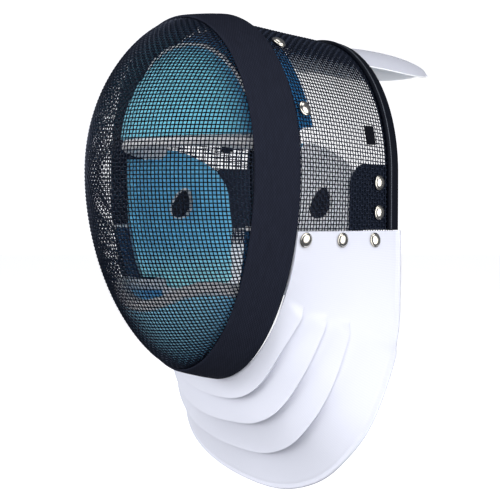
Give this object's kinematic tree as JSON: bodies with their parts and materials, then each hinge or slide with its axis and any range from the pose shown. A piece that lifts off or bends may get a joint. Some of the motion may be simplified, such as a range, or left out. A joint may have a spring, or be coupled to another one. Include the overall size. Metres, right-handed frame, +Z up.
{
  "type": "fencing mask",
  "caption": "Fencing mask with a domed wire visor, wide dark trim, woven wire hood, pleated white throat bib, padded rear tongue and blue inner pads.",
  "frame": {"origin": "under the crown of the forehead pad, where the top of the wearer's head bears", "axes": "+X to the wearer's left, +Y towards the back of the head, +Z up"},
  "size_m": [0.2412, 0.347, 0.3927],
  "materials": {
    "black_painted_wire": "black enamel on steel wire, satin",
    "charcoal_trim_cloth": "fine plain weave, matt",
    "white_bib_cloth": "tightly woven nylon, faint sheen",
    "blue_pad_cloth": "brushed knit, matt",
    "black_net": "matt",
    "nickel_plate": "nickel plated, polished"
  },
  "bodies": {
    "root": {"front_mesh": "black_painted_wire", "hood_mesh": "black_painted_wire", "trim": "charcoal_trim_cloth", "back_binding": "charcoal_trim_cloth", "bib": "white_bib_cloth", "tongue": "white_bib_cloth", "forehead_pad": "blue_pad_cloth", "chin_pad": "blue_pad_cloth", "forehead_edging": "white_bib_cloth", "chin_edging": "white_bib_cloth", "cheek_pad_left": "blue_pad_cloth", "ear_net_left": "black_net", "rear_patch_left": "charcoal_trim_cloth", "hook_tab_left": "black_net", "hood_snap_left_1": "nickel_plate", "hood_snap_left_2": "nickel_plate", "hood_snap_left_3": "nickel_plate", "hood_snap_left_4": "nickel_plate", "bib_snap_left_1": "nickel_plate", "bib_snap_left_2": "nickel_plate", "bib_snap_left_3": "nickel_plate", "cheek_pad_right": "blue_pad_cloth", "ear_net_right": "black_net", "rear_patch_right": "charcoal_trim_cloth", "hook_tab_right": "black_net", "hood_snap_right_1": "nickel_plate", "hood_snap_right_2": "nickel_plate", "hood_snap_right_3": "nickel_plate", "hood_snap_right_4": "nickel_plate", "bib_snap_right_1": "nickel_plate", "bib_snap_right_2": "nickel_plate", "bib_snap_right_3": "nickel_plate"}
  },
  "joints": []
}
